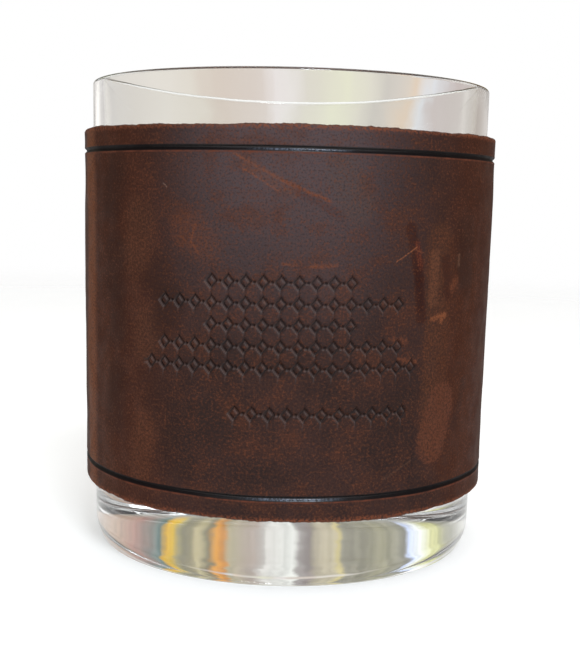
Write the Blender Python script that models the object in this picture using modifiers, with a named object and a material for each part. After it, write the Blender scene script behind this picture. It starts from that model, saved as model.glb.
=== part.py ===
"""A heavy-based whiskey tumbler in a laced leather sleeve, in metres with +Z up.

The glass stands on the plane z = 0, its axis is Z, and the sleeve's seam is at the back, on +Y.
"""

import math

import bpy
import bmesh
from mathutils import Matrix

MM = 0.001
ROUND_STEPS = 72

# The glass
GLASS_HEIGHT = 95.4 * MM
RIM_RADIUS = 41.5 * MM
SIDE_TAPER = 0.011  # outer radius gained per unit of height
HEEL_HEIGHT = 5.2 * MM  # below this the side turns in, gently and then round the heel
HEEL_TURN = 9.0 * MM
HEEL_RADIUS = 0.9 * MM
STANDING_RING_WIDTH = 5.0 * MM
RECESS_DEPTH = 0.25 * MM
RECESS_SLOPE = 2.0 * MM
BASE_THICKNESS = 15.0 * MM
FLOOR_CORNER_RADIUS = 6.0 * MM
LIP_THICKNESS = 2.1 * MM
LIP_ROUNDING = 0.6 * MM
LOWER_WALL = 3.0 * MM

# The leather strip, bent into a sleeve
SLEEVE_BOTTOM = 13.4 * MM
SLEEVE_TOP = 85.3 * MM
SLEEVE_GAP = 0.3 * MM
LEATHER_THICKNESS = 1.55 * MM
EDGE_BEVEL = 0.3 * MM
CREASE_HEIGHTS = (17.8 * MM, 81.1 * MM)
CREASE_WIDTH = 0.9 * MM
CREASE_DEPTH = 0.35 * MM
SEAM_GAP = 0.3 * MM

# The lacing up the seam
THREAD_RADIUS = 0.35 * MM
LACING_ROWS = 11
FIRST_ROW = 20.6 * MM
LAST_ROW = 78.9 * MM
HOLE_OFFSET = 3.5 * MM  # from the seam to the holes' centres, along the leather
HOLE_RADIUS = 1.0 * MM
HOLE_SIDES = 12
BED_FLOOR = 0.75 * MM  # depth of the thread beds' floor under the grain side, at the seam
BED_HALF_HEIGHT = 0.95 * MM
BED_HALF_WIDTH = 4.3 * MM
PASS_OFFSET = 0.4 * MM  # each hole holds two passes, this far above and below its centre
THREAD_LIFT = 0.05 * MM  # clearance between the thread and the grain side
CROSSING_LIFT = 0.75 * MM  # how far the upper pass rises to cross the lower one


def clear_scene():
    for obj in list(bpy.data.objects):
        bpy.data.objects.remove(obj, do_unlink=True)


def new_collection(name):
    collection = bpy.data.collections.new(name)
    bpy.context.scene.collection.children.link(collection)
    return collection


def material(name, colour, roughness, transmission=0.0):
    made = bpy.data.materials.new(name)
    made.use_nodes = True
    shader = made.node_tree.nodes["Principled BSDF"]
    shader.inputs["Base Color"].default_value = (*colour, 1.0)
    shader.inputs["Roughness"].default_value = roughness
    shader.inputs["Metallic"].default_value = 0.0
    shader.inputs["Transmission Weight"].default_value = transmission
    return made


def add_object(name, data, collection, finish=None):
    obj = bpy.data.objects.new(name, data)
    collection.objects.link(obj)
    if finish:
        data.materials.append(finish)
    return obj


def arc(centre, radius, start, end, steps):
    """Points of an arc in the (radius, height) plane, its angles in degrees from +radius."""
    angles = [math.radians(start + (end - start) * i / steps) for i in range(steps + 1)]
    return [(centre[0] + radius * math.cos(a), centre[1] + radius * math.sin(a)) for a in angles]


def turned(name, profile, closed, collection, finish):
    """A solid of revolution about Z, from its profile of (radius, height) points."""
    ends = [(i, i + 1) for i in range(len(profile) - 1)]
    if closed:
        ends.append((len(profile) - 1, 0))
    mesh = bpy.data.meshes.new(name)
    mesh.from_pydata([(r, 0.0, z) for r, z in profile], ends, [])
    obj = add_object(name, mesh, collection, finish)
    screw = obj.modifiers.new("Turned", "SCREW")
    screw.axis = "Z"
    screw.steps = screw.render_steps = ROUND_STEPS
    screw.use_merge_vertices = True
    screw.merge_threshold = 0.02 * MM
    screw.use_smooth_shade = True
    return obj


def cut(target, cutter, name):
    boolean = target.modifiers.new(name, "BOOLEAN")
    boolean.operation = "DIFFERENCE"
    boolean.solver = "EXACT"
    boolean.object = cutter


def cutter_object(name, shape, collection):
    """Turns a bmesh into a hidden cutter."""
    mesh = bpy.data.meshes.new(name)
    shape.to_mesh(mesh)
    shape.free()
    obj = add_object(name, mesh, collection)
    obj.hide_render = True
    obj.display_type = "WIRE"
    return obj


def glass_radius(height):
    """Outer radius of the glass's straight side."""
    return RIM_RADIUS - SIDE_TAPER * (GLASS_HEIGHT - height)


def leather_radius(height):
    """Radius of the leather's grain side."""
    return glass_radius(height) + SLEEVE_GAP + LEATHER_THICKNESS


def row_height(row):
    return FIRST_ROW + (LAST_ROW - FIRST_ROW) * row / (LACING_ROWS - 1)


def glass_tumbler(collection):
    lip_height = GLASS_HEIGHT - LIP_ROUNDING
    lip_outside = glass_radius(lip_height) - LIP_ROUNDING
    lip_inside = glass_radius(lip_height) - LIP_THICKNESS + LIP_ROUNDING
    corner_height = BASE_THICKNESS + FLOOR_CORNER_RADIUS
    corner_centre = glass_radius(corner_height) - LOWER_WALL - FLOOR_CORNER_RADIUS
    turn_centre = glass_radius(HEEL_HEIGHT) - HEEL_TURN
    slope = math.asin((HEEL_HEIGHT - HEEL_RADIUS) / (HEEL_TURN - HEEL_RADIUS))
    heel_centre = turn_centre + (HEEL_TURN - HEEL_RADIUS) * math.cos(slope)
    recess_radius = heel_centre - STANDING_RING_WIDTH

    profile = [(0.0, BASE_THICKNESS)]
    profile += arc((corner_centre, corner_height), FLOOR_CORNER_RADIUS, -90, 0, 6)
    profile += arc((lip_inside, lip_height), LIP_ROUNDING, 180, 90, 4)
    profile += arc((lip_outside, lip_height), LIP_ROUNDING, 90, 0, 4)
    profile += arc((turn_centre, HEEL_HEIGHT), HEEL_TURN, 0, -math.degrees(slope), 4)
    profile += arc((heel_centre, HEEL_RADIUS), HEEL_RADIUS, -math.degrees(slope), -90, 3)[1:]
    profile += [
        (recess_radius, 0.0),
        (recess_radius - RECESS_SLOPE, RECESS_DEPTH),
        (0.0, RECESS_DEPTH),
    ]
    finish = material("clear_glass", (0.93, 0.96, 0.95), 0.03, transmission=1.0)
    return turned("glass_tumbler", profile, False, collection, finish)


def crease(height):
    """Profile points down across one pressed line, from its upper edge to its lower."""
    points = []
    for across in (-1.0, -0.5, 0.0, 0.5, 1.0):
        z = height - across * CREASE_WIDTH / 2
        depth = CREASE_DEPTH * (1 + math.cos(math.pi * across)) / 2
        points.append((leather_radius(z) - depth, z))
    return points


def thread_beds(collection):
    """Slots across the seam on the flesh side, one for each row's inner passes."""
    shape = bmesh.new()
    reach = 3 * MM
    for row in range(LACING_ROWS):
        z = row_height(row)
        floor = leather_radius(z) - BED_FLOOR
        place = Matrix.Translation((0.0, floor - reach / 2, z))
        size = Matrix.Diagonal((2 * BED_HALF_WIDTH, reach, 2 * BED_HALF_HEIGHT, 1.0))
        bmesh.ops.create_cube(shape, size=1.0, matrix=place @ size)
    return cutter_object("thread_bed_cutters", shape, collection)


def lacing_holes(collection):
    """Round holes punched through the leather in pairs, one each side of the seam."""
    shape = bmesh.new()
    for row in range(LACING_ROWS):
        z = row_height(row)
        radius = leather_radius(z)
        for side in (-1, 1):
            turn = Matrix.Rotation(-side * HOLE_OFFSET / radius, 4, "Z")
            place = Matrix.Translation((0.0, radius - LEATHER_THICKNESS / 2, z))
            lay_down = Matrix.Rotation(math.pi / 2, 4, "X")
            bmesh.ops.create_cone(
                shape,
                cap_ends=True,
                segments=HOLE_SIDES,
                radius1=HOLE_RADIUS,
                radius2=HOLE_RADIUS,
                depth=3 * LEATHER_THICKNESS,
                matrix=turn @ place @ lay_down,
            )
    return cutter_object("lacing_hole_cutters", shape, collection)


def seam_slit(collection):
    """The butt joint between the strip's two ends."""
    shape = bmesh.new()
    middle = (SLEEVE_TOP + SLEEVE_BOTTOM) / 2
    place = Matrix.Translation((0.0, leather_radius(middle), middle))
    size = Matrix.Diagonal((SEAM_GAP, 8 * MM, 1.2 * (SLEEVE_TOP - SLEEVE_BOTTOM), 1.0))
    bmesh.ops.create_cube(shape, size=1.0, matrix=place @ size)
    return cutter_object("seam_slit_cutter", shape, collection)


def leather_sleeve(collection, cutters):
    top, bottom = SLEEVE_TOP, SLEEVE_BOTTOM
    profile = [
        (leather_radius(top) - LEATHER_THICKNESS, top),
        (leather_radius(top) - EDGE_BEVEL, top),
        (leather_radius(top - EDGE_BEVEL), top - EDGE_BEVEL),
    ]
    for height in sorted(CREASE_HEIGHTS, reverse=True):
        profile += crease(height)
    profile += [
        (leather_radius(bottom + EDGE_BEVEL), bottom + EDGE_BEVEL),
        (leather_radius(bottom) - EDGE_BEVEL, bottom),
        (leather_radius(bottom) - LEATHER_THICKNESS, bottom),
    ]
    finish = material("brown_leather", (0.075, 0.034, 0.025), 0.5)
    sleeve = turned("leather_sleeve", profile, True, collection, finish)
    cut(sleeve, thread_beds(cutters), "Thread beds")
    cut(sleeve, lacing_holes(cutters), "Lacing holes")
    cut(sleeve, seam_slit(cutters), "Seam")
    return sleeve


def on_leather(along, out, height):
    """The point this far round from the seam and this far out from the grain side."""
    angle = along / leather_radius(height)
    radius = leather_radius(height) + out
    return (radius * math.sin(angle), radius * math.cos(angle), height)


def outer_pass(start, end, over):
    """Knots of one pass over the grain side, from a left-hand hole to a right-hand one."""
    rest = THREAD_LIFT + THREAD_RADIUS
    knots = [(-1.0, -0.3 * MM), (-0.97, 0.2 * MM), (-0.83, rest)]
    if over:
        knots += [
            (-0.27, rest),
            (-0.07, rest + 0.55 * CROSSING_LIFT),
            (0.14, rest + CROSSING_LIFT),
            (0.35, rest + 0.55 * CROSSING_LIFT),
            (0.55, rest),
        ]
    else:
        knots.append((0.0, rest))
    knots += [(0.83, rest), (0.97, 0.2 * MM), (1.0, -0.3 * MM)]
    rise = end - start
    return [(HOLE_OFFSET * at, out, start + rise * (1 + at) / 2) for at, out in knots]


def inner_pass(height):
    """Knots of one pass under the flesh side, from a right-hand hole back to the left-hand one."""
    rest = THREAD_RADIUS - LEATHER_THICKNESS
    knots = [(0.985, -0.85 * MM), (0.83, rest), (0.0, rest), (-0.83, rest), (-0.985, -0.85 * MM)]
    return [(HOLE_OFFSET * at, out, height) for at, out in knots]


def lacing_route():
    """One thread: it climbs the seam on the lower half of each hole and comes back on the upper half."""
    route = inner_pass(row_height(0) - PASS_OFFSET)
    for row in range(LACING_ROWS - 1):
        low, high = row_height(row) - PASS_OFFSET, row_height(row + 1) - PASS_OFFSET
        route += outer_pass(low, high, over=False) + inner_pass(high)
    for row in reversed(range(LACING_ROWS - 1)):
        last = row == LACING_ROWS - 2
        high = row_height(row + 1) + (-PASS_OFFSET if last else PASS_OFFSET)
        low = row_height(row) + PASS_OFFSET
        route += outer_pass(high, low, over=True) + inner_pass(low)
    return route[:-1]


def seam_thread(collection):
    route = [on_leather(*knot) for knot in lacing_route()]
    curve = bpy.data.curves.new("seam_thread", "CURVE")
    curve.dimensions = "3D"
    curve.bevel_depth = THREAD_RADIUS
    curve.bevel_resolution = 2
    curve.use_fill_caps = True
    spline = curve.splines.new("POLY")
    spline.points.add(len(route) - 1)
    for point, place in zip(spline.points, route):
        point.co = (*place, 1.0)
    spline.use_smooth = True
    finish = material("waxed_thread", (0.045, 0.024, 0.016), 0.55)
    return add_object("seam_thread", curve, collection, finish)


def main():
    clear_scene()
    parts = new_collection("whiskey_tumbler")
    cutters = new_collection("cutters")
    glass_tumbler(parts)
    leather_sleeve(parts, cutters)
    seam_thread(parts)


main()
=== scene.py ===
"""The looks of the whiskey tumbler: clear glass, a pull-up leather sleeve and its waxed lacing."""

import math

import bpy
import numpy as np
from mathutils import Euler, Matrix, Vector


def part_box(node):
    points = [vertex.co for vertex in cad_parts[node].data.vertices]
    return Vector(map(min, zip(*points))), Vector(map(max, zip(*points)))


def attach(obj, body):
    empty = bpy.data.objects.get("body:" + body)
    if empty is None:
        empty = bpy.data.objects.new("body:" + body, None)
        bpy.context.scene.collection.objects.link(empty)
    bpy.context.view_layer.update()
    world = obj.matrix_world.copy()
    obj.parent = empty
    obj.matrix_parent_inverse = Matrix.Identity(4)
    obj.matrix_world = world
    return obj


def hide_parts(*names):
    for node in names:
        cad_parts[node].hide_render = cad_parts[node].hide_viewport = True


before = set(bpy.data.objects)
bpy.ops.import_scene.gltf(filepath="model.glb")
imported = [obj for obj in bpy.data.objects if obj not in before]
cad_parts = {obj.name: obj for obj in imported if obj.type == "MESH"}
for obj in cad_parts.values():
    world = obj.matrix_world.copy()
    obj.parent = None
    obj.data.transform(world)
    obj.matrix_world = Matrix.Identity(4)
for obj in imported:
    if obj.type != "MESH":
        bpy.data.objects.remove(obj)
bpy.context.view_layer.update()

MM = 0.001

# Heights read from the frame, in metres
_, GLASS_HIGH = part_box("glass_tumbler")
SLEEVE_LOW, SLEEVE_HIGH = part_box("leather_sleeve")
GLASS_HEIGHT = GLASS_HIGH[2]
SLEEVE_BOTTOM, SLEEVE_TOP = SLEEVE_LOW[2], SLEEVE_HIGH[2]

# The glass
RIM_RADIUS = 41.5 * MM
SIDE_TAPER = 0.011  # outer radius gained per unit of height
HEEL_HEIGHT = 5.2 * MM  # below this the side turns in, gently and then round the heel
HEEL_TURN = 9.0 * MM  # radius of the gentle part
HEEL_RADIUS = 0.9 * MM
STANDING_RING_WIDTH = 5.0 * MM
RECESS_DEPTH = 0.25 * MM
RECESS_SLOPE = 2.0 * MM
BASE_THICKNESS = 15.0 * MM
FLOOR_CORNER_RADIUS = 6.0 * MM
LIP_THICKNESS = 2.1 * MM
LIP_ROUNDING = 0.6 * MM
LOWER_WALL = 3.0 * MM
GLASS_STEPS = 288

# The leather
SLEEVE_GAP = 0.3 * MM
LEATHER_THICKNESS = 1.55 * MM
WRAP_RADIUS = 43.0 * MM  # turns an angle round the sleeve into a length along it
CREASE_HEIGHTS = (17.8 * MM, 81.1 * MM)
CREASE_HALF_WIDTH = 0.36 * MM
CREASE_DEPTH = 0.38 * MM
CREASE_SWELL = 0.05 * MM  # how far the leather rises beside a crease
SEAM_GAP = 0.01 * MM
SEAM_ROUNDING, SEAM_ROUNDING_REACH = 0.22 * MM, 0.35 * MM
SEAM_DIP, SEAM_DIP_REACH = 0.12 * MM, 4.0 * MM
EDGE_RADIUS = 0.24 * MM
EDGE_WAVE_REACH = 1.1 * MM  # how far in from a cut edge its waviness is felt
FRAY = 0.035  # usual height of the fibres on a cut edge, in mm

# The lacing
THREAD_RADIUS = 0.35 * MM
LACING_ROWS = 11
FIRST_ROW, LAST_ROW = 20.6 * MM, 78.9 * MM
HOLE_OFFSET = 3.5 * MM
HOLE_RADIUS = 1.0 * MM
BED_FLOOR = 0.75 * MM
BED_HALF_HEIGHT = 0.95 * MM
BED_HALF_WIDTH = 4.3 * MM
PASS_OFFSET = 0.4 * MM
THREAD_LIFT = 0.05 * MM
CROSSING_LIFT = 0.75 * MM
THREAD_STEP = 0.17 * MM  # between the points of the thread's line
PLY_COUNT = 3
PLY_RADIUS = 0.19 * MM
PLY_OFFSET = 0.17 * MM
PLY_SIDES = 8
TWIST_LENGTH = 2.1 * MM  # along the thread, for one whole turn of its plies

# The stamped ornament on the front: rows of small lozenges, in metres along and up the leather
STAMP_ROWS = (  # height of each row, where its middle is along the leather, and how many stamps it holds
    (57.4 * MM, -1.0 * MM, 9),
    (53.5 * MM, -1.0 * MM, 15),
    (49.6 * MM, -1.0 * MM, 9),
    (45.7 * MM, -1.0 * MM, 15),
    (41.8 * MM, -1.0 * MM, 17),
    (33.4 * MM, 7.0 * MM, 11),
)
STAMP_PITCH = 3.25 * MM
STAMP_HALF_WIDTH = 1.0 * MM
STAMP_HALF_HEIGHT = 1.15 * MM
STAMP_STROKE = 0.2 * MM
STAMP_DOT = 0.26 * MM
STAMP_DEPTH = 0.4 * MM
STAMP_SWELL = 0.03 * MM  # how far the leather rises beside a stamped line
RIM_LIGHT_SHIFT = 0.26 * MM  # from a stamped line to its painted rim highlight, to the lower left

# The photograph's view: the camera's lens and sensor in mm, its turns in radians and its place in metres
CAMERA_LENS, CAMERA_SENSOR = 61.44, 36.0
CAMERA_PITCH, CAMERA_YAW, CAMERA_ROLL = 0.1119, 0.0036, 0.0235
CAMERA_PLACE = (0.0, -0.2403, 0.07195)
CAMERA_CLIP = (0.01, 20.0)

# The studio, in metres
KEY_PLACE = (0.2, -0.72, 0.82)
KEY_TARGET = (0.0, 0.0, 0.048)
KEY_SIZE = 0.26
KEY_POWER = 6.0
KEY_COLOUR = (0.9, 0.95, 1.0)
FLOOR_RADII = (0.2, 0.5, 1.2)
FLOOR_STEPS = 48
FLOOR_FADE = (0.16, 0.95)  # how far out the floor starts to clear and is gone
FLOOR_DROP = 0.2 * MM  # so that the standing ring and the floor don't share a plane


def glass_radius(height):
    return RIM_RADIUS - SIDE_TAPER * (GLASS_HEIGHT - height)


def leather_radius(height):
    return glass_radius(height) + SLEEVE_GAP + LEATHER_THICKNESS


def row_height(row):
    """Height of a row of lacing holes, the first one being the lowest."""
    return FIRST_ROW + (LAST_ROW - FIRST_ROW) * row / (LACING_ROWS - 1)


def new_object(name, data):
    """A new object that holds the data, linked into the scene."""
    obj = bpy.data.objects.new(name, data)
    bpy.context.scene.collection.objects.link(obj)
    return obj


def add_piece(name, mesh, body, node):
    """Adds a piece that rides on a body and stands for a CAD node."""
    obj = new_object(name, mesh)
    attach(obj, body)
    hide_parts(node)


def mesh_of(name, points, faces, smooth=True):
    mesh = bpy.data.meshes.new(name)
    mesh.from_pydata([tuple(p) for p in points], [], [tuple(f) for f in faces])
    mesh.polygons.foreach_set("use_smooth", [smooth] * len(mesh.polygons))
    mesh.update()
    return mesh


# ---------------------------------------------------------------- node trees


class Tree:
    """A node tree built by calls; each input is a number, a colour, a vector or another node's socket."""

    def __init__(self, tree):
        self.tree = tree

    def node(self, kind, output, inputs, **settings):
        made = self.tree.nodes.new(kind)
        for key, value in settings.items():
            setattr(made, key, value)
        for key, value in inputs.items():
            socket = made.inputs[key]
            if isinstance(value, bpy.types.NodeSocket):
                self.tree.links.new(value, socket)
            elif value is not None:
                socket.default_value = value
        return made.outputs[output] if output is not None else made

    def math(self, operation, a, b=None):
        return self.node("ShaderNodeMath", 0, {0: a, 1: b}, operation=operation)

    def vector(self, operation, a, b=None):
        output = 1 if operation in ("DOT_PRODUCT", "LENGTH", "DISTANCE") else 0
        return self.node("ShaderNodeVectorMath", output, {0: a, 1: b}, operation=operation)

    def combine(self, x, y, z=0.0):
        return self.node("ShaderNodeCombineXYZ", 0, {0: x, 1: y, 2: z})

    def noise(self, where, scale, detail=2.0, roughness=0.5, output=0):
        inputs = {"Vector": where, "Scale": scale, "Detail": detail, "Roughness": roughness}
        return self.node("ShaderNodeTexNoise", output, inputs)

    def ramp(self, value, low, high, start=0.0, end=1.0):
        """value from low to high becomes start to end, smoothly, and stays there outside."""
        inputs = {"Value": value, "From Min": low, "From Max": high, "To Min": start, "To Max": end}
        return self.node("ShaderNodeMapRange", 0, inputs, interpolation_type="SMOOTHSTEP")

    def mix(self, share, a, b):
        """Colour a where share is 0, and b where it is 1."""
        a, b = ((*colour, 1.0) if isinstance(colour, tuple) else colour for colour in (a, b))
        factor, first, second, result = 0, 6, 7, 2  # the mix node's sockets for colours
        inputs = {factor: share, first: a, second: b}
        return self.node("ShaderNodeMix", result, inputs, data_type="RGBA")


def new_material(name):
    material = bpy.data.materials.new(name)
    material.use_nodes = True
    shader = material.node_tree.nodes["Principled BSDF"]
    return material, Tree(material.node_tree), shader


def connect(tree, shader, **sockets):
    """Sets or links the shader's sockets, named with _ for a space."""
    for name, value in sockets.items():
        socket = shader.inputs[name.replace("_", " ")]
        if isinstance(value, bpy.types.NodeSocket):
            tree.tree.links.new(value, socket)
        else:
            socket.default_value = value


def wrapped_place(tree):
    """(along, up) on the sleeve in mm: along is 0 at the front and grows towards +X."""
    place = tree.node("ShaderNodeTexCoord", "Object", {})
    axes = tree.node("ShaderNodeSeparateXYZ", None, {0: place})
    minus_y = tree.math("MULTIPLY", axes.outputs[1], -1.0)
    angle = tree.math("ARCTAN2", axes.outputs[0], minus_y)
    along = tree.math("MULTIPLY", angle, WRAP_RADIUS / MM)
    up = tree.math("MULTIPLY", axes.outputs[2], 1 / MM)
    return along, up


# ---------------------------------------------------------------- the glass


def arc(centre, radius, start, end, steps):
    """Points of an arc in the (radius, height) plane, its angles in degrees from +radius."""
    angles = np.radians(np.linspace(start, end, steps + 1))
    return [(centre[0] + radius * math.cos(a), centre[1] + radius * math.sin(a)) for a in angles]


def glass_profile():
    """(radius, height) from the inner floor's middle up, over the lip and down to the recess's middle."""
    lip_height = GLASS_HEIGHT - LIP_ROUNDING
    lip_outside = glass_radius(lip_height)
    lip_inside = lip_outside - LIP_THICKNESS
    corner_height = BASE_THICKNESS + FLOOR_CORNER_RADIUS
    corner_centre = glass_radius(corner_height) - LOWER_WALL - FLOOR_CORNER_RADIUS
    profile = [(corner_centre * share, BASE_THICKNESS) for share in (0.0, 0.25, 0.5, 0.75)]
    profile += arc((corner_centre, corner_height), FLOOR_CORNER_RADIUS, -90, 0, 20)
    inner_foot, inner_head = profile[-1], (lip_inside, lip_height)
    for share in np.linspace(0, 1, 13)[1:-1]:
        profile.append(tuple((1 - share) * np.array(inner_foot) + share * np.array(inner_head)))
    profile += arc((lip_inside + LIP_ROUNDING, lip_height), LIP_ROUNDING, 180, 90, 10)
    profile += arc((lip_outside - LIP_ROUNDING, lip_height), LIP_ROUNDING, 90, 0, 10)
    for height in np.linspace(profile[-1][1], HEEL_HEIGHT, 15)[1:-1]:
        profile.append((glass_radius(height), height))
    slope = math.asin((HEEL_HEIGHT - HEEL_RADIUS) / (HEEL_TURN - HEEL_RADIUS))
    turn_centre = glass_radius(HEEL_HEIGHT) - HEEL_TURN
    heel_centre = turn_centre + (HEEL_TURN - HEEL_RADIUS) * math.cos(slope)
    profile += arc((turn_centre, HEEL_HEIGHT), HEEL_TURN, 0, -math.degrees(slope), 16)
    profile += arc((heel_centre, HEEL_RADIUS), HEEL_RADIUS, -math.degrees(slope), -90, 12)[1:]
    recess_radius = heel_centre - STANDING_RING_WIDTH
    for share in np.linspace(0, 1, 9):
        step = (1 - math.cos(math.pi * share)) / 2
        profile.append((recess_radius - RECESS_SLOPE * share, RECESS_DEPTH * step))
    profile += [(recess_radius * share, RECESS_DEPTH) for share in (0.6, 0.3, 0.0)]
    return profile


def glass_material():
    """Clear pressed glass, slightly uneven, which lets most light through in its shadow."""
    material, tree, shader = new_material("clear_glass")
    place = tree.node("ShaderNodeTexCoord", "Object", {})
    stretched = tree.vector("MULTIPLY", place, (1.0, 1.0, 0.35))
    draw = tree.noise(stretched, 0.11 / MM, detail=1.0)
    bump = tree.node("ShaderNodeBump", 0, {"Strength": 0.12, "Distance": 0.4 * MM, "Height": draw})
    connect(
        tree,
        shader,
        Base_Color=(0.985, 0.99, 0.98, 1.0),
        Roughness=0.0,
        IOR=1.5,
        Transmission_Weight=1.0,
        Normal=bump,
    )
    output = material.node_tree.nodes["Material Output"]
    path = tree.node("ShaderNodeLightPath", "Is Shadow Ray", {})
    clear = tree.node("ShaderNodeBsdfTransparent", 0, {"Color": (0.86, 0.87, 0.86, 1.0)})
    both = tree.node("ShaderNodeMixShader", 0, {0: path, 1: shader.outputs[0], 2: clear})
    tree.tree.links.new(both, output.inputs["Surface"])
    return material


def make_glass():
    """The profile turned round the axis, in quads and with a fan of triangles at each end."""
    profile = np.array(glass_profile())
    angles = np.linspace(0, 2 * math.pi, GLASS_STEPS, endpoint=False)
    points, faces = [(0.0, 0.0, profile[0][1])], []
    rings = profile[1:-1]
    for radius, height in rings:
        ring = [radius * np.cos(angles), radius * np.sin(angles), np.full_like(angles, height)]
        points.extend(np.stack(ring, axis=1))
    points.append((0.0, 0.0, profile[-1][1]))
    n = GLASS_STEPS
    for i in range(n):
        j = (i + 1) % n
        faces.append((0, 1 + i, 1 + j))
        last = len(points) - 1
        faces.append((last, last - n + j, last - n + i))
    for ring in range(len(rings) - 1):
        a, b = 1 + ring * n, 1 + (ring + 1) * n
        for i in range(n):
            j = (i + 1) % n
            faces.append((a + i, b + i, b + j, a + j))
    mesh = mesh_of("clear_tumbler", points, faces)
    mesh.materials.append(glass_material())
    add_piece("clear_tumbler", mesh, "tumbler", "glass_tumbler")


# ---------------------------------------------------------------- the leather


def spaced(stops):
    """Places from the first stop to the last, each stretch with about its own spacing."""
    places = [stops[0][0]]
    for (start, step), (end, _) in zip(stops, stops[1:]):
        count = max(1, round((end - start) / step))
        places += list(start + (end - start) * np.arange(1, count + 1) / count)
    return np.array(places)


def column_places():
    """Lengths along the strip of its columns, from one end of the seam round to the other."""
    half = math.pi * WRAP_RADIUS - SEAM_GAP / 2
    ornament_end, holes_start, edge_start = 28.0 * MM, half - 6.0 * MM, half - 0.6 * MM
    fine, plain, near_holes, at_edge = 0.25 * MM, 1.1 * MM, 0.4 * MM, 0.1 * MM
    stops = [(0.0, fine), (ornament_end, plain), (holes_start, near_holes), (edge_start, at_edge)]
    right = spaced([*stops, (half, 0)])
    return np.concatenate([-right[:0:-1], right])


def row_places():
    """Heights of the grain side's rows, from the bottom edge to the top one."""
    at_crease, at_stamps, at_edge, plain = 0.13 * MM, 0.21 * MM, 0.12 * MM, 1.4 * MM
    crease_reach, stamp_reach, edge_reach = 0.8 * MM, 1.6 * MM, 1.2 * MM
    bands = [(z, crease_reach, at_crease) for z in CREASE_HEIGHTS]
    bands += [(z, stamp_reach, at_stamps) for z, _, _ in STAMP_ROWS]
    stops = [(SLEEVE_BOTTOM + EDGE_RADIUS, at_edge), (SLEEVE_BOTTOM + edge_reach, plain)]
    for middle, reach, step in sorted(bands):
        stops += [(middle - reach, step), (middle + reach, plain)]
    stops += [(SLEEVE_TOP - edge_reach, at_edge), (SLEEVE_TOP - EDGE_RADIUS, 0)]
    return spaced(stops)


def ripple(along, up, waves):
    """A sum of (amplitude, along wavelength, up wavelength, phase) sine waves, all in mm."""
    total = np.zeros(np.broadcast(along, up).shape)
    for amplitude, wide, tall, phase in waves:
        swing = along / MM * 2 * math.pi / wide + up / MM * 2 * math.pi / tall + phase
        total += amplitude * MM * np.sin(swing)
    return total


# Waves for ripple: the sleeve's slight cockling, and its cut edges, which only vary along the strip
ENDLESS = 1e9
COCKLE = (
    (0.07, 31.0, 47.0, 0.4),
    (0.05, 19.3, -33.0, 1.9),
    (0.03, 11.1, 17.0, 4.0),
    (0.015, 5.3, -7.9, 2.6),
)
EDGE_WAVES = (
    (0.12, 48.6, ENDLESS, 0.9),
    (0.06, 21.9, ENDLESS, 2.2),
    (0.04, 9.1, ENDLESS, 0.3),
    (0.02, 3.05, ENDLESS, 4.4),
    (0.02, 1.33, ENDLESS, 1.2),
)


def frayed(along, seed):
    """Small random nicks and tufts along a cut edge, in metres."""
    count, usual_height, narrowest, widest = 420, 0.045, 0.15, 0.45  # the last three in mm
    dice = np.random.default_rng(seed)
    places = dice.uniform(-math.pi, math.pi, count) * WRAP_RADIUS
    heights = dice.normal(0, usual_height, count) * MM
    widths = dice.uniform(narrowest, widest, count) * MM
    total = np.zeros_like(along)
    for place, height, width in zip(places, heights, widths):
        total += height * np.exp(-(((along - place) / width) ** 2))
    return total


def stamped(along, up):
    """How far each point is from the middle of the ornament's nearest line, in line half widths."""
    nearest = np.full(np.broadcast(along, up).shape, 9.0)
    for height, middle, count in STAMP_ROWS:
        for number in range(count):
            centre = middle + (number - (count - 1) / 2) * STAMP_PITCH
            across = np.abs(along - centre) / STAMP_HALF_WIDTH
            tall = np.abs(up - height) / STAMP_HALF_HEIGHT
            outline = np.abs(across + tall - 1) * STAMP_HALF_WIDTH * 0.75
            nearest = np.minimum(nearest, outline / STAMP_STROKE)
            if number < count - 1:
                from_dot = np.hypot(along - centre - STAMP_PITCH / 2, up - height)
                nearest = np.minimum(nearest, (from_dot - STAMP_DOT) / STAMP_STROKE + 0.9)
    return np.maximum(nearest, 0)


def grain_side(along, up):
    """How far the grain side stands out from its plain radius at each point, in metres."""
    out = ripple(along, up, COCKLE)
    for number, height in enumerate(CREASE_HEIGHTS):
        waves = ((0.05, 57.0, ENDLESS, 1.0 + number), (0.03, 23.0, ENDLESS, 2.0 * number))
        wander = ripple(along, 0 * along, waves)
        across = np.abs((up - height - wander) / CREASE_HALF_WIDTH)
        out = out - CREASE_DEPTH * np.exp(-(across**2.6))
        out = out + CREASE_SWELL * np.exp(-((across - 1.7) ** 2) * 3)
    line = stamped(along, up)
    out = out - STAMP_DEPTH * np.exp(-((line / 1.35) ** 3)) + STAMP_SWELL * np.exp(-((line - 2.1) ** 2) * 4)
    seam = math.pi * WRAP_RADIUS - np.abs(along)
    out = out - SEAM_ROUNDING * np.exp(-seam / SEAM_ROUNDING_REACH)
    return out - SEAM_DIP * np.exp(-((seam / SEAM_DIP_REACH) ** 2))


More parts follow.
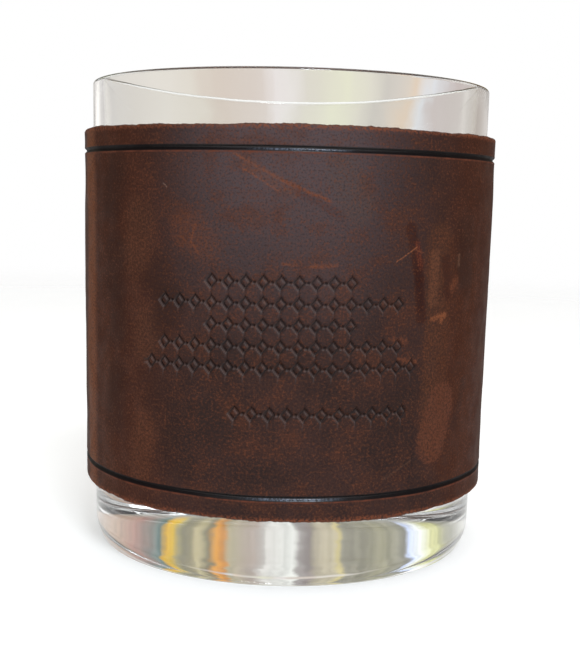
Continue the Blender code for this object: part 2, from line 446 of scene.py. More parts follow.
def sleeve_profile():
    """Points round the strip's section: (side, height, depth), the height from the edge at top and bottom."""
    profile = [("grain", z, 0.0) for z in row_places()]
    turn = np.radians(np.linspace(0, 90, 6)[1:])
    for a in turn:
        profile.append(("top", EDGE_RADIUS * (math.sin(a) - 1), EDGE_RADIUS * (1 - math.cos(a))))
    for depth in np.linspace(EDGE_RADIUS, LEATHER_THICKNESS, 6)[1:]:
        profile.append(("top", 0.0, depth))
    for share in np.linspace(1, 0, 25)[1:-1]:
        profile.append(("flesh", SLEEVE_BOTTOM + share * (SLEEVE_TOP - SLEEVE_BOTTOM), 0.0))
    for depth in np.linspace(LEATHER_THICKNESS, EDGE_RADIUS, 6):
        profile.append(("bottom", 0.0, depth))
    for a in turn[:-1]:
        profile.append(("bottom", EDGE_RADIUS * (1 - math.cos(a)), EDGE_RADIUS * (1 - math.sin(a))))
    return profile


def sleeve_rings(along, profile):
    """The mesh's rings: each point of the profile carried along the strip, with relief and frayed edges."""
    top_wave = ripple(along, 0 * along, EDGE_WAVES) + frayed(along, 11)
    bottom_wave = ripple(along + 13 * MM, 0 * along, EDGE_WAVES) + frayed(along, 23)
    angle = along / WRAP_RADIUS
    edges = {"top": SLEEVE_TOP, "bottom": SLEEVE_BOTTOM}
    rings = []
    for number, (side, height, depth) in enumerate(profile):
        base = edges.get(side, 0.0) + height
        near_top = math.exp(-(((SLEEVE_TOP - base) / EDGE_WAVE_REACH) ** 2))
        near_bottom = math.exp(-(((base - SLEEVE_BOTTOM) / EDGE_WAVE_REACH) ** 2))
        z = base + top_wave * near_top + bottom_wave * near_bottom
        if side == "flesh":
            radius = leather_radius(z) - LEATHER_THICKNESS
        else:
            relief = grain_side(along, z if side == "grain" else np.full_like(along, base))
            share = min(1.0, depth / LEATHER_THICKNESS)
            radius = leather_radius(z) - depth + relief * (1 - share)
            if side != "grain" and 0 < share < 1:
                z = z + np.random.default_rng(100 + number).normal(0, FRAY, along.size) * MM
        rings.append(np.stack([radius * np.sin(angle), -radius * np.cos(angle), z], axis=1))
    return rings


def stamp_shares(along, rings, profile, shift, width):
    """1 on the ornament's lines and less beside them, both moved by shift, and 0 off the grain side."""
    shares = []
    for ring, (side, _, _) in zip(rings, profile):
        if side == "grain":
            line = stamped(along + shift, ring[:, 2] + shift)
            shares.append(np.exp(-((line / width) ** 2)))
        else:
            shares.append(np.zeros(along.size))
    return np.concatenate(shares)


def sleeve_mesh():
    """The bent strip before its holes are cut: slot 0 is the grain side, and slot 1 what is raw."""
    along, profile = column_places(), sleeve_profile()
    rings = sleeve_rings(along, profile)
    count, columns = len(rings), along.size
    faces, raw = [], []
    for ring in range(count):
        following = (ring + 1) % count
        a, b = ring * columns, following * columns
        faces += [(a + i, a + i + 1, b + i + 1, b + i) for i in range(columns - 1)]
        is_raw = profile[ring][0] != "grain" and profile[following][0] != "grain"
        raw += [int(is_raw)] * (columns - 1)
    faces.append(tuple(ring * columns for ring in range(count)))
    faces.append(tuple(ring * columns + columns - 1 for ring in reversed(range(count))))
    raw += [1, 1]
    mesh = mesh_of("sleeve_body", np.concatenate(rings), faces)
    mesh.polygons.foreach_set("material_index", raw)
    # the first share is the stamped lines, to be darkened; the second, moved to their lower left, carries a
    # painted highlight where the key light would catch their rims
    for name, shift, width in (("pressed", 0.0, 0.7), ("painted_rim_light", RIM_LIGHT_SHIFT, 0.65)):
        mark = mesh.attributes.new(name, "FLOAT", "POINT")
        mark.data.foreach_set("value", stamp_shares(along, rings, profile, shift, width))
    return mesh


def cutter(name, parts, finish):
    """One passing mesh made of several convex solids, each (points, faces)."""
    points, faces = [], []
    for some_points, some_faces in parts:
        faces += [tuple(i + len(points) for i in face) for face in some_faces]
        points += list(some_points)
    mesh = mesh_of(name, points, faces, smooth=False)
    mesh.materials.append(finish)
    return new_object(name, mesh)


def hole_solid(side, height, sides=24):
    """A round punch through the leather, slightly wider at the grain side where the edge is worn."""
    radius = leather_radius(height)
    angle = side * HOLE_OFFSET / WRAP_RADIUS
    out = Vector((math.sin(angle), math.cos(angle), 0.0))
    flat = Vector((math.cos(angle), -math.sin(angle), 0.0))
    # how far each ring stands out from the grain side, and its width as a share of the hole's
    rings = ((-2.5 * MM, 1.0), (-0.5 * MM, 1.0), (-0.1 * MM, 1.06), (0.15 * MM, 1.25), (1.0 * MM, 1.3))
    points = []
    for depth, wide in rings:
        for step in range(sides):
            turn = 2 * math.pi * step / sides
            across = flat * math.cos(turn) + Vector((0, 0, 1)) * math.sin(turn)
            points.append(out * (radius + depth) + Vector((0, 0, height)) + across * HOLE_RADIUS * wide)
    faces = [tuple(reversed(range(sides)))]
    for ring in range(len(rings) - 1):
        for step in range(sides):
            a, b = ring * sides + step, ring * sides + (step + 1) % sides
            faces.append((a, b, b + sides, a + sides))
    faces.append(tuple((len(rings) - 1) * sides + i for i in range(sides)))
    return points, faces


def bed_solid(height):
    """A shallow slot on the flesh side, where a row's inner passes lie."""
    outer = leather_radius(height) - BED_FLOOR
    inner = outer - 3 * MM  # well inside the sleeve, so that the slot is open there
    points = []
    for z in (height - BED_HALF_HEIGHT, height + BED_HALF_HEIGHT):
        for side, y in ((-1, inner), (1, inner), (1, outer), (-1, outer)):
            points.append(Vector((side * BED_HALF_WIDTH, y, z)))
    faces = [(3, 2, 1, 0), (4, 5, 6, 7), (0, 1, 5, 4), (1, 2, 6, 5), (2, 3, 7, 6), (3, 0, 4, 7)]
    return points, faces


# The leather's colours
PLUM, LIGHT_PLUM = (0.026, 0.0145, 0.0125), (0.041, 0.02, 0.0165)
# painted sheen: the cool grey reflection of the front light, put into the leather's colour
PAINTED_SHEEN = (0.083, 0.06, 0.064)
WARM_SIDE = (0.056, 0.0135, 0.004)
BARE = (0.072, 0.025, 0.014)
SPECKLE = (0.13, 0.042, 0.0195)
SPOT = (0.014, 0.0085, 0.008)
# a painted highlight for the stamped lines' lower-left rims, then the dark of the lines themselves
PAINTED_RIM_LIGHT, PRESSED = (0.15, 0.125, 0.12), (0.006, 0.004, 0.004)
# the rub below the creases, the creases' near-black, and a painted glint for the light reflected in them
CREASE_RUB, CREASE_DARK, CREASE_PAINTED_GLINT = (0.13, 0.038, 0.02), (0.0045, 0.0035, 0.0038), (0.13, 0.15, 0.2)
EDGE_WEAR = (0.21, 0.062, 0.028)
RUST = (0.03, 0.0075, 0.0045)
ORANGE = (0.17, 0.052, 0.023)
TAN = (0.092, 0.036, 0.019)
DARK = (0.016, 0.007, 0.0052)
GREY = (0.07, 0.048, 0.042)

# Rubs, scuffs and dark spots on the leather, and one painted highlight, in mm: from one point to another
# along and up the sleeve, the half width and how far beyond it the mark fades, how strong it is, and its
# colour.
MARKS = (
    # broad darker bands on the right, a painted highlight down the left edge, then the left side with its
    # spots and rubs
    ((28.0, 12.0), (28.0, 88.0), 5.0, 12.0, 0.3, (0.018, 0.008, 0.006)),
    ((46.0, 12.0), (46.0, 88.0), 7.0, 8.0, 0.55, (0.034, 0.007, 0.002)),
    # painted highlight: a pale orange band down the left edge, where a light from behind would catch the
    # leather
    ((-49.9, 14.0), (-49.9, 85.0), 1.6, 3.2, 1.0, (0.2, 0.06, 0.018)),
    ((-41.0, 14.0), (-41.0, 40.0), 1.0, 4.0, 0.35, TAN),
    ((-38.5, 70.0), (-37.5, 77.0), 1.5, 4.0, 0.8, DARK),
    ((-38.5, 56.0), (-37.5, 62.0), 1.5, 4.0, 0.85, DARK),
    ((-37.5, 46.0), (-36.5, 51.0), 1.2, 3.5, 0.7, DARK),
    ((-38.5, 29.0), (-37.0, 38.0), 1.2, 3.5, 0.8, DARK),
    ((-31.0, 61.0), (-30.0, 68.0), 1.4, 4.5, 0.6, TAN),
    ((-28.5, 44.0), (-28.0, 49.0), 1.0, 3.5, 0.6, TAN),
    ((-30.0, 20.0), (-29.0, 29.0), 1.2, 3.5, 0.7, (0.11, 0.038, 0.018)),
    ((-23.5, 49.5), (-22.5, 53.5), 1.2, 4.0, 0.75, DARK),
    ((-26.5, 56.5), (-24.5, 59.0), 0.8, 3.5, 0.5, DARK),
    # the rubbed field on the right, with what crosses it
    ((31.4, 27.0), (31.2, 65.0), 2.4, 2.2, 0.8, (0.078, 0.028, 0.013)),
    ((38.0, 24.0), (40.0, 62.0), 4.5, 3.5, 0.6, (0.06, 0.015, 0.004)),
    ((29.7, 54.0), (29.9, 62.5), 0.7, 1.0, 0.7, (0.13, 0.05, 0.025)),
    ((31.0, 26.5), (33.5, 34.0), 3.4, 1.2, 0.75, (0.115, 0.037, 0.019)),
    ((33.0, 61.5), (33.8, 55.0), 0.6, 1.2, 0.95, RUST),
    ((23.6, 67.5), (26.0, 58.5), 0.7, 1.0, 1.0, RUST),
    ((25.6, 61.5), (26.8, 50.8), 0.95, 0.55, 1.0, RUST),
    ((25.8, 60.0), (26.6, 52.5), 0.5, 0.55, 0.8, (0.02, 0.004, 0.003)),
    ((25.2, 64.5), (26.2, 60.5), 0.3, 0.7, 0.5, (0.16, 0.035, 0.018)),
    ((40.5, 58.0), (39.5, 67.0), 1.8, 3.4, 0.8, DARK),
    ((41.0, 37.0), (38.5, 29.0), 0.3, 1.8, 0.7, DARK),
    ((20.7, 61.3), (25.2, 64.0), 0.0, 0.22, 1.0, (0.26, 0.088, 0.036)),
    ((24.6, 63.6), (26.6, 62.9), 0.0, 0.3, 0.7, ORANGE),
    ((29.4, 50.3), (33.2, 51.3), 0.1, 0.7, 0.95, (0.22, 0.07, 0.028)),
    ((32.3, 50.0), (33.2, 51.1), 0.3, 0.6, 0.9, (0.22, 0.07, 0.028)),
    ((35.2, 56.0), (36.4, 57.6), 0.3, 1.3, 0.6, ORANGE),
    ((37.3, 60.3), (37.4, 62.4), 0.1, 0.5, 0.6, (0.16, 0.08, 0.045)),
    ((22.0, 43.3), (25.9, 42.5), 0.1, 0.6, 0.7, ORANGE),
    ((20.9, 46.9), (23.3, 46.7), 0.2, 0.9, 0.5, ORANGE),
    ((19.6, 20.9), (25.8, 23.9), 0.0, 0.4, 0.45, (0.12, 0.056, 0.034)),
    # the long scuff that comes down from the upper crease
    ((-9.9, 80.0), (-1.0, 75.3), 0.0, 0.45, 0.9, (0.19, 0.062, 0.03)),
    ((-7.4, 78.2), (1.2, 73.4), 0.7, 0.6, 0.55, (0.12, 0.052, 0.036)),
    ((-8.2, 77.4), (-1.4, 73.4), 0.0, 0.35, 0.8, (0.19, 0.062, 0.03)),
    ((-1.0, 75.3), (7.4, 72.0), 0.05, 0.5, 0.9, ORANGE),
    ((1.5, 73.6), (9.8, 69.4), 0.2, 1.0, 0.5, (0.06, 0.018, 0.011)),
    ((9.5, 77.5), (12.5, 71.5), 2.0, 2.4, 0.5, GREY),
    # small rubs round the ornament
    ((-19.0, 66.5), (-15.5, 64.0), 1.6, 3.6, 0.35, ORANGE),
    ((-17.2, 67.3), (-18.1, 64.2), 0.0, 0.35, 0.7, ORANGE),
    ((-18.1, 64.2), (-16.6, 62.2), 0.0, 0.35, 0.6, ORANGE),
    ((-0.9, 60.7), (1.6, 60.6), 0.05, 0.4, 0.6, ORANGE),
    ((4.4, 60.3), (8.8, 60.6), 0.1, 0.6, 0.7, ORANGE),
    ((-24.2, 74.6), (-23.4, 73.9), 0.0, 0.22, 0.5, (0.3, 0.2, 0.16)),
)


def mark_share(tree, place, start, end, half_width, fade):
    """1 within half_width of the line from start to end, and 0 beyond the fade."""
    run = Vector(end) - Vector(start)
    from_start = tree.vector("SUBTRACT", place, (*start, 0.0))
    share = tree.vector("DOT_PRODUCT", from_start, (*(run / run.length_squared), 0.0))
    share = tree.math("MAXIMUM", tree.math("MINIMUM", share, 1.0), 0.0)
    nearest = tree.vector("MULTIPLY", tree.combine(share, share), (*run, 0.0))
    distance = tree.vector("DISTANCE", from_start, nearest)
    return tree.ramp(distance, half_width, half_width + fade, 1.0, 0.0)


def leather_colour(tree, along, up):
    """Mottled, waxed leather: dark plum with rusty speckle, a painted sheen high up at the front, warmer
    round the sides, and its marks, one of them a painted highlight.
    """
    place = tree.combine(along, up)
    broad = tree.noise(place, 0.05, detail=3.0, roughness=0.6)
    patches = tree.noise(tree.vector("ADD", place, (40.0, 10.0, 5.0)), 0.17, detail=4.0, roughness=0.62)
    speckle = tree.noise(place, 1.9, detail=5.0, roughness=0.72)
    colour = tree.mix(tree.ramp(broad, 0.35, 0.66), PLUM, LIGHT_PLUM)
    # painted sheen: the front light's cool reflection painted into the colour, at the front and growing
    # towards the top
    in_middle = tree.ramp(tree.math("ABSOLUTE", along), 32.0, 6.0)
    painted_sheen = tree.math("MULTIPLY", tree.ramp(up, 38.0, 84.0), in_middle)
    colour = tree.mix(tree.math("MULTIPLY", painted_sheen, 0.85), colour, PAINTED_SHEEN)
    sides = tree.ramp(tree.math("ABSOLUTE", tree.math("ADD", along, -4.0)), 20.0, 42.0, 0.0, 0.75)
    colour = tree.mix(sides, colour, WARM_SIDE)
    colour = tree.mix(tree.ramp(patches, 0.46, 0.7, 0.0, 0.5), colour, BARE)

    # the marks' outlines wander, those of the sharp ones less
    wander = tree.noise(place, 0.55, detail=4.0, roughness=0.6, output=1)
    wander = tree.vector("SUBTRACT", wander, (0.5, 0.5, 0.5))
    moved = tree.vector("ADD", place, tree.vector("MULTIPLY", wander, (1.6, 1.6, 0.0)))
    slightly_moved = tree.vector("ADD", place, tree.vector("MULTIPLY", wander, (0.8, 0.8, 0.0)))
    mark_breakup = tree.ramp(speckle, 0.38, 0.6, 0.25, 1.0)
    for start, end, half_width, fade, strength, tint in MARKS:
        where = slightly_moved if fade < 0.7 else moved
        share = mark_share(tree, where, start, end, half_width, fade)
        amount = tree.math("MULTIPLY", tree.math("MULTIPLY", share, mark_breakup), strength)
        colour = tree.mix(amount, colour, tint)

    fine = tree.ramp(speckle, 0.46, 0.66)
    amount = tree.math("MULTIPLY", fine, tree.ramp(patches, 0.32, 0.62, 0.32, 0.7))
    colour = tree.mix(amount, colour, SPECKLE)
    spots = tree.ramp(tree.noise(place, 2.4, detail=4.0), 0.52, 0.32, 0.0, 0.4)
    colour = tree.mix(spots, colour, SPOT)
    return colour, speckle


def stamp_finish(tree, colour):
    """The stamped lines, darkened, with a painted highlight on the rim to their lower left, where the key
    light would catch it.
    """
    # a painted highlight on the lower-left rims, then the darkened lines
    for name, strength, tint in (("painted_rim_light", 0.45, PAINTED_RIM_LIGHT), ("pressed", 0.92, PRESSED)):
        share = tree.node("ShaderNodeAttribute", "Fac", {}, attribute_name=name)
        colour = tree.mix(tree.math("MULTIPLY", share, strength), colour, tint)
    return colour


def crease_finish(tree, colour, along, up, speckle):
    """The darkened creases with a rusty rub below each and a painted glint near the front, where the key
    light would be reflected; also their polish.
    """
    flicker = tree.noise(tree.combine(along, 0.0), 0.35, detail=4.0, roughness=0.65)
    patchy = tree.ramp(flicker, 0.4, 0.6, 0.2, 0.8)
    from_glint = tree.math("ABSOLUTE", tree.math("SUBTRACT", along, 2.0))
    near_glint = tree.ramp(from_glint, 11.0, 3.0)
    sparkle = tree.ramp(speckle, 0.42, 0.6, 0.15, 0.9)
    polish = 0.0
    for height in CREASE_HEIGHTS:
        above = tree.math("SUBTRACT", up, height / MM)
        from_rub = tree.math("ABSOLUTE", tree.math("ADD", above, 0.68))
        rub = tree.math("MULTIPLY", tree.ramp(from_rub, 0.08, 0.26, 1.0, 0.0), patchy)
        colour = tree.mix(rub, colour, CREASE_RUB)
        distance = tree.math("ABSOLUTE", above)
        colour = tree.mix(tree.ramp(distance, 0.62, 0.44, 0.0, 0.96), colour, CREASE_DARK)
        polish = tree.math("ADD", polish, tree.ramp(distance, 0.6, 0.4))
        # painted glint: a bluish highlight painted into each groove's lower side near the front, where the
        # key light is reflected
        low_side = tree.ramp(tree.math("ABSOLUTE", tree.math("ADD", above, 0.18)), 0.26, 0.1)
        wax_and_glint = tree.math("MULTIPLY", tree.math("MULTIPLY", low_side, near_glint), sparkle)
        colour = tree.mix(wax_and_glint, colour, CREASE_PAINTED_GLINT)
    return colour, polish


def leather_material():
    """The grain side: mottled leather with its stamps, its darkened creases with a painted glint, and its
    worn edges.
    """
    material, tree, shader = new_material("pull_up_leather")
    along, up = wrapped_place(tree)
    colour, speckle = leather_colour(tree, along, up)
    place = tree.combine(along, up)
    grain = tree.noise(place, 3.0, detail=4.0, roughness=0.6)
    height = tree.math("ADD", tree.math("MULTIPLY", grain, 0.6), tree.math("MULTIPLY", speckle, 0.5))
    rough = tree.ramp(tree.noise(place, 0.3, detail=3.0), 0.3, 0.7, 0.62, 0.74)
    bump = tree.node("ShaderNodeBump", 0, {"Strength": 0.22, "Distance": 0.1 * MM, "Height": height})
    colour = stamp_finish(tree, colour)
    colour, polish = crease_finish(tree, colour, along, up, speckle)
    frayed_share = tree.ramp(speckle, 0.4, 0.58)
    for edge in (SLEEVE_BOTTOM / MM, SLEEVE_TOP / MM):
        from_edge = tree.math("ABSOLUTE", tree.math("SUBTRACT", up, edge))
        wear = tree.math("MULTIPLY", tree.ramp(from_edge, 0.25, 1.1, 0.75, 0.0), frayed_share)
        colour = tree.mix(wear, colour, EDGE_WEAR)
    in_middle = tree.ramp(tree.math("ABSOLUTE", along), 8.0, 30.0, 0.6, 0.04)
    connect(
        tree,
        shader,
        Base_Color=colour,
        Roughness=rough,
        Specular_IOR_Level=0.08,
        Normal=bump,
        Coat_Weight=tree.math("MULTIPLY", polish, in_middle),
        Coat_Roughness=0.22,
        Coat_Normal=bump,
    )
    return material


def raw_leather_material():
    """The cut edges, the holes' walls and the flesh side: fibrous, matt and redder."""
    material, tree, shader = new_material("raw_leather")
    along, up = wrapped_place(tree)
    place = tree.combine(along, up)
    fibres = tree.noise(place, 1.6, detail=5.0, roughness=0.7)
    colour = tree.mix(tree.ramp(fibres, 0.35, 0.7), (0.05, 0.022, 0.014), (0.16, 0.062, 0.032))
    bump = tree.node("ShaderNodeBump", 0, {"Strength": 0.5, "Distance": 0.15 * MM, "Height": fibres})
    connect(tree, shader, Base_Color=colour, Roughness=0.85, Normal=bump)
    return material


def make_sleeve():
    """The strip with its holes and slots cut, and the cut faces raw."""
    mesh = sleeve_mesh()
    raw = raw_leather_material()
    mesh.materials.append(leather_material())
    mesh.materials.append(raw)
    body = new_object("sleeve_uncut", mesh)
    holes = [hole_solid(side, row_height(row)) for row in range(LACING_ROWS) for side in (-1, 1)]
    beds = [bed_solid(row_height(row)) for row in range(LACING_ROWS)]
    tools = [cutter("holes", holes, raw), cutter("beds", beds, raw)]
    for tool in tools:
        cut = body.modifiers.new(tool.name, "BOOLEAN")
        cut.operation, cut.solver, cut.object = "DIFFERENCE", "MANIFOLD", tool
        cut.material_mode = "TRANSFER"
    graph = bpy.context.evaluated_depsgraph_get()
    made = bpy.data.meshes.new_from_object(body.evaluated_get(graph))
    made.name = "leather_wrap"
    for obj in (body, *tools):
        bpy.data.objects.remove(obj, do_unlink=True)
    made.set_sharp_from_angle(angle=math.radians(50))
    add_piece("leather_wrap", made, "sleeve", "leather_sleeve")


# ---------------------------------------------------------------- the lacing


def on_leather(along, out, height):
    """The point this far round from the seam and this far out from the grain side."""
    angle = along / leather_radius(height)
    radius = leather_radius(height) + out
    return (radius * math.sin(angle), radius * math.cos(angle), height)


def outer_pass(start, end, over):
    """From the left hole at one height to the right one at another, lifted where it crosses over."""
    rest = THREAD_LIFT + THREAD_RADIUS
    knots = [(-1.0, -0.3 * MM), (-0.97, 0.2 * MM), (-0.83, rest)]
    if over:
        knots += [
            (-0.27, rest),
            (-0.07, rest + 0.55 * CROSSING_LIFT),
            (0.14, rest + CROSSING_LIFT),
            (0.35, rest + 0.55 * CROSSING_LIFT),
            (0.55, rest),
        ]
    else:
        knots.append((0.0, rest))
    knots += [(0.83, rest), (0.97, 0.2 * MM), (1.0, -0.3 * MM)]
    rise = end - start
    return [(HOLE_OFFSET * at, out, start + rise * (1 + at) / 2) for at, out in knots]


def inner_pass(height):
    """Back from the right hole to the left one along the slot on the flesh side."""
    rest = THREAD_RADIUS - LEATHER_THICKNESS
    knots = [(0.985, -0.85 * MM), (0.83, rest), (0.0, rest), (-0.83, rest), (-0.985, -0.85 * MM)]
    return [(HOLE_OFFSET * at, out, height) for at, out in knots]


def lacing_route():
    """One thread: it climbs the seam on the lower half of each hole and comes back on the upper half."""
    route = inner_pass(row_height(0) - PASS_OFFSET)
    for row in range(LACING_ROWS - 1):
        low, high = row_height(row) - PASS_OFFSET, row_height(row + 1) - PASS_OFFSET
        route += outer_pass(low, high, over=False) + inner_pass(high)
    for row in reversed(range(LACING_ROWS - 1)):
        last = row == LACING_ROWS - 2
        high = row_height(row + 1) + (-PASS_OFFSET if last else PASS_OFFSET)
        low = row_height(row) + PASS_OFFSET
        route += outer_pass(high, low, over=True) + inner_pass(low)
    return np.array([on_leather(*knot) for knot in route[:-1]])


def smooth_route(knots, spacing):
    """Evenly spaced points of a Catmull-Rom curve through the knots."""
    padded = np.concatenate([[2 * knots[0] - knots[1]], knots, [2 * knots[-1] - knots[-2]]])
    dense = []
    for a, b, c, d in zip(padded, padded[1:], padded[2:], padded[3:]):
        square, cube = 2 * a - 5 * b + 4 * c - d, 3 * b - a - 3 * c + d
        for t in np.arange(8) / 8:
            dense.append(0.5 * (2 * b + (c - a) * t + square * t**2 + cube * t**3))
    dense = np.array([*dense, knots[-1]])
    lengths = np.concatenate([[0], np.cumsum(np.linalg.norm(np.diff(dense, axis=0), axis=1))])
    wanted = np.linspace(0, lengths[-1], round(lengths[-1] / spacing) + 1)
    return np.stack([np.interp(wanted, lengths, dense[:, i]) for i in range(3)], axis=1)


def carried_frames(line):
    """Two normals at each point of the line, carried along it without twist."""
    tangents = np.gradient(line, axis=0)
    tangents /= np.linalg.norm(tangents, axis=1)[:, None]
    normal = np.cross(tangents[0], (0.0, 0.0, 1.0))
    normals = []
    for tangent in tangents:
        normal = normal - tangent * (normal @ tangent)
        normal = normal / np.linalg.norm(normal)
        normals.append(normal)
    normals = np.array(normals)
    return normals, np.cross(tangents, normals)


def tube(line, radius, sides):
    """(points, faces) of a round tube along the line, closed by flat ends."""
    first, second = carried_frames(line)
    turn = np.linspace(0, 2 * math.pi, sides, endpoint=False)
    points = []
    for place, a, b in zip(line, first, second):
        points.append(place + radius * (np.cos(turn)[:, None] * a + np.sin(turn)[:, None] * b))
    points = np.concatenate(points)
    faces = []
    for ring in range(len(line) - 1):
        for i in range(sides):
            a, b = ring * sides + i, ring * sides + (i + 1) % sides
            faces.append((a, b, b + sides, a + sides))
    faces.append(tuple(reversed(range(sides))))
    faces.append(tuple((len(line) - 1) * sides + i for i in range(sides)))
    return points, faces


def thread_material():
    """Dark brown waxed thread."""
    material, tree, shader = new_material("waxed_thread")
    place = tree.node("ShaderNodeTexCoord", "Object", {})
    fibre = tree.noise(place, 4200.0, detail=3.0, roughness=0.6)
    wax_and_glint = tree.noise(place, 350.0, detail=2.0)
    colour = tree.mix(tree.ramp(fibre, 0.35, 0.65), (0.028, 0.015, 0.01), (0.075, 0.04, 0.024))
    bump = tree.node("ShaderNodeBump", 0, {"Strength": 0.3, "Distance": 0.04 * MM, "Height": fibre})
    connect(tree, shader, Base_Color=colour, Roughness=tree.ramp(wax_and_glint, 0.3, 0.7, 0.38, 0.6), Normal=bump)
    return material


def make_lacing():
    """One thread of three twisted plies."""
    line = smooth_route(lacing_route(), THREAD_STEP)
    first, second = carried_frames(line)
    lengths = np.concatenate([[0], np.cumsum(np.linalg.norm(np.diff(line, axis=0), axis=1))])
    points, faces = [], []
    for ply in range(PLY_COUNT):
        turn = 2 * math.pi * (lengths / TWIST_LENGTH + ply / PLY_COUNT)
        strand = line + PLY_OFFSET * (np.cos(turn)[:, None] * first + np.sin(turn)[:, None] * second)
        some_points, some_faces = tube(strand, PLY_RADIUS, PLY_SIDES)
        faces += [tuple(i + len(points) for i in face) for face in some_faces]
        points += list(some_points)
    mesh = mesh_of("waxed_lacing", points, faces)
    mesh.materials.append(thread_material())
    add_piece("waxed_lacing", mesh, "sleeve", "seam_thread")


# ---------------------------------------------------------------- the studio


def make_camera():
    """From the front, a little below the rim and tilted down."""
    data = bpy.data.cameras.new("camera")
    data.lens, data.sensor_width = CAMERA_LENS, CAMERA_SENSOR
    data.clip_start, data.clip_end = CAMERA_CLIP
    camera = new_object("camera", data)
    camera.location = CAMERA_PLACE
    tilt = Euler((math.pi / 2 - CAMERA_PITCH, 0.0, 0.0)).to_matrix().to_4x4()
    aim = Matrix.Rotation(-CAMERA_YAW, 4, "Z") @ tilt
    turned = aim @ Matrix.Rotation(CAMERA_ROLL, 4, "Z")
    camera.rotation_euler = turned.to_euler()
    bpy.context.scene.camera = camera


def make_key_light():
    """A soft square light, high in front and to the right."""
    data = bpy.data.lights.new("key", "AREA")
    data.shape = "RECTANGLE"
    data.size = data.size_y = KEY_SIZE
    data.energy = KEY_POWER
    data.color = KEY_COLOUR
    light = new_object("key", data)
    light.location = KEY_PLACE
    aim = Vector(KEY_TARGET) - Vector(KEY_PLACE)
    light.rotation_euler = aim.to_track_quat("-Z", "Y").to_euler()
    light.visible_camera = False


# Soft cards behind the tumbler, which show through the glass: where each colour stands, in degrees to
# the right of straight ahead, first at eye height and then higher up.
LOW_CARDS = (
    (-90, (0.5, 0.5, 0.5)),
    (-50, (0.62, 0.62, 0.61)),
    (-38, (0.75, 0.75, 0.75)),
    (-31, (1.35, 1.35, 1.33)),
    (-27, (1.3, 1.3, 1.28)),
    (-21, (0.82, 0.82, 0.82)),
    (-8.5, (0.9, 0.88, 0.83)),
    (-5.5, (0.86, 0.83, 0.76)),
    (-4.6, (0.78, 0.7, 0.63)),
    (-1.5, (0.76, 0.69, 0.64)),
    (-0.4, (0.95, 0.93, 0.95)),
    (0.8, (0.78, 0.76, 0.68)),
    (2.8, (0.88, 0.9, 0.72)),
    (4.2, (0.84, 0.83, 0.74)),
    (5.9, (0.68, 0.66, 0.63)),
    (6.6, (0.8, 0.76, 0.7)),
    (7.8, (0.88, 0.74, 0.6)),
    (9.0, (0.88, 0.93, 1.0)),
    (10.5, (0.7, 0.64, 0.64)),
    (17, (0.8, 0.79, 0.78)),
    (50, (0.43, 0.38, 0.34)),
    (90, (0.3, 0.25, 0.21)),
)
HIGH_CARDS = (
    (-66, (0.8, 0.8, 0.78)),
    (-52, (0.42, 0.42, 0.36)),
    (-46, (0.45, 0.45, 0.34)),
    (-42, (0.72, 0.74, 0.36)),
    (-37, (0.95, 0.97, 0.5)),
    (-34, (1.1, 1.15, 1.0)),
    (-30, (1.15, 1.25, 1.5)),
    (-28, (0.75, 0.88, 1.3)),
    (-26.5, (0.36, 0.36, 0.33)),
    (-20, (0.42, 0.41, 0.3)),
    (-15, (0.34, 0.33, 0.27)),
    (-11.2, (0.36, 0.35, 0.3)),
    (-10.3, (0.8, 0.7, 0.34)),
    (-9.4, (0.62, 0.57, 0.44)),
    (-6, (0.6, 0.55, 0.45)),
    (-4.8, (0.34, 0.3, 0.31)),
    (-2.7, (0.42, 0.4, 0.42)),
    (-1.6, (1.0, 1.04, 1.08)),
    (2.6, (0.85, 0.85, 0.88)),
    (4.6, (0.56, 0.48, 0.46)),
    (9, (0.52, 0.48, 0.35)),
    (10.2, (0.75, 0.33, 0.07)),
    (11.8, (0.85, 0.4, 0.06)),
    (13.2, (0.28, 0.26, 0.18)),
    (15.5, (0.62, 0.56, 0.36)),
    (18.5, (0.25, 0.24, 0.18)),
    (20.3, (0.5, 0.46, 0.27)),
    (21.8, (0.9, 0.62, 0.06)),
    (24, (0.85, 0.5, 0.04)),
    (25.5, (0.15, 0.26, 0.27)),
    (35, (0.52, 0.3, 0.27)),
    (46, (0.62, 0.45, 0.36)),
)


def card_colour(tree, azimuth, cards):
    """The cards' colour at an azimuth in degrees, blended from each to the next."""
    first, last = cards[0][0], cards[-1][0]
    inputs = {"Value": azimuth, "From Min": first, "From Max": last}
    share = tree.node("ShaderNodeMapRange", 0, inputs)
    ramp = tree.tree.nodes.new("ShaderNodeValToRGB")
    tree.tree.links.new(share, ramp.inputs[0])
    stops = ramp.color_ramp.elements
    while len(stops) < len(cards):
        stops.new(0.5)
    for stop, (place, colour) in zip(stops, cards):
        stop.position = (place - first) / (last - first)
        stop.color = (*colour, 1.0)
    return ramp.outputs[0]


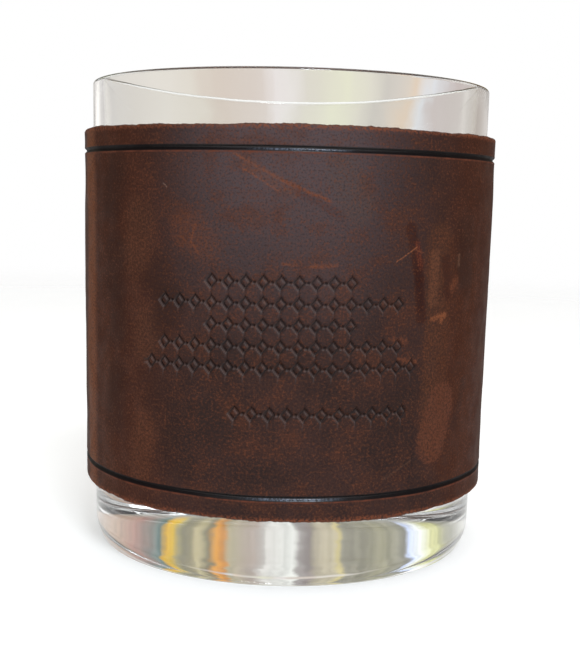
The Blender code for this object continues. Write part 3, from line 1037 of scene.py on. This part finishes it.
def studio_light(tree):
    """The light from each direction: pale cards behind, a cool glow in front, dim sides, and overhead."""
    direction = tree.node("ShaderNodeTexCoord", "Generated", {})
    axes = tree.node("ShaderNodeSeparateXYZ", None, {0: direction})
    x, y, z = axes.outputs
    azimuth = tree.math("MULTIPLY", tree.math("ARCTAN2", x, y), 180 / math.pi)
    elevation = tree.math("MULTIPLY", tree.math("ARCSINE", z), 180 / math.pi)
    unevenness = tree.noise(direction, 11.0, detail=4.0, roughness=0.62)
    shift = tree.math("MULTIPLY", tree.math("SUBTRACT", unevenness, 0.5), 5.0)
    azimuth = tree.math("ADD", azimuth, shift)
    low = tree.vector("MULTIPLY", card_colour(tree, azimuth, LOW_CARDS), (0.91, 0.88, 0.86))
    high = tree.vector("MULTIPLY", card_colour(tree, azimuth, HIGH_CARDS), (0.88, 0.86, 0.79))
    upright = tree.combine(tree.math("MULTIPLY", azimuth, 0.45), tree.math("MULTIPLY", elevation, 0.05))
    streaks = tree.ramp(tree.noise(upright, 1.0, detail=3.0), 0.35, 0.65, 0.78, 1.08)
    high = tree.vector("MULTIPLY", high, tree.combine(streaks, streaks, streaks))
    behind = tree.mix(tree.ramp(elevation, 7.6, 9.6), low, high)
    behind = tree.mix(tree.ramp(elevation, 24.0, 34.0), behind, (0.42, 0.41, 0.37))
    glow_centre = tuple(Vector((0.06, -0.93, 0.36)).normalized())
    facing = tree.vector("DOT_PRODUCT", direction, glow_centre)
    front = tree.mix(tree.ramp(facing, 0.62, 0.98), (0.12, 0.11, 0.1), (0.9, 0.96, 1.03))
    through_glass = tree.node("ShaderNodeLightPath", "Is Transmission Ray", {})
    front = tree.mix(through_glass, front, (0.84, 0.85, 0.85))
    around = tree.mix(tree.ramp(y, -0.05, 0.3), front, behind)
    scattered = tree.node("ShaderNodeLightPath", "Is Diffuse Ray", {})
    overhead = tree.mix(scattered, (1.1, 1.11, 1.12), (2.3, 2.32, 2.35))
    return tree.mix(tree.ramp(elevation, 52.0, 72.0), around, overhead)


def make_floor():
    """A pale round floor that fades into the backdrop."""
    steps = FLOOR_STEPS
    points = [(0.0, 0.0, 0.0)]
    for radius in FLOOR_RADII:
        for step in range(steps):
            turn = 2 * math.pi * step / steps
            points.append((radius * math.cos(turn), radius * math.sin(turn), 0.0))
    faces = [(0, 1 + i, 1 + (i + 1) % steps) for i in range(steps)]
    for ring in range(len(FLOOR_RADII) - 1):
        a, b = 1 + ring * steps, 1 + (ring + 1) * steps
        faces += [(a + i, b + i, b + (i + 1) % steps, a + (i + 1) % steps) for i in range(steps)]
    material, tree, shader = new_material("pale_floor")
    place = tree.node("ShaderNodeTexCoord", "Object", {})
    tone = tree.ramp(tree.noise(place, 6.0, detail=2.0), 0.3, 0.7)
    colour = tree.mix(tone, (0.71, 0.71, 0.705), (0.73, 0.73, 0.725))
    connect(tree, shader, Base_Color=colour, Roughness=0.7)
    connect(tree, shader, Emission_Color=(1.0, 1.0, 0.99, 1.0), Emission_Strength=0.36)
    fade = tree.ramp(tree.vector("LENGTH", place), *FLOOR_FADE)
    clear = tree.node("ShaderNodeBsdfTransparent", 0, {})
    both = tree.node("ShaderNodeMixShader", 0, {0: fade, 1: shader.outputs[0], 2: clear})
    tree.tree.links.new(both, material.node_tree.nodes["Material Output"].inputs["Surface"])
    mesh = mesh_of("floor", points, faces, smooth=False)
    mesh.materials.append(material)
    floor = new_object("floor", mesh)
    floor.location.z = -FLOOR_DROP


def make_studio():
    """The key light, the floor, and a world that is white to look at but lights as studio_light says."""
    make_key_light()
    make_floor()
    scene = bpy.context.scene
    scene.world = world = bpy.data.worlds.new("studio")
    world.use_nodes = True
    tree = Tree(world.node_tree)
    seen = tree.node("ShaderNodeLightPath", "Is Camera Ray", {})
    backdrop = tree.mix(seen, studio_light(tree), (1.0, 1.0, 1.0))
    tree.tree.links.new(backdrop, world.node_tree.nodes["Background"].inputs["Color"])
    scene.view_settings.view_transform = "Standard"
    # light is reflected many times inside the solid base, so fewer bounces would leave dark wedges there
    scene.cycles.max_bounces = 16
    scene.cycles.glossy_bounces = 12


make_camera()
make_studio()
make_glass()
make_sleeve()
make_lacing()
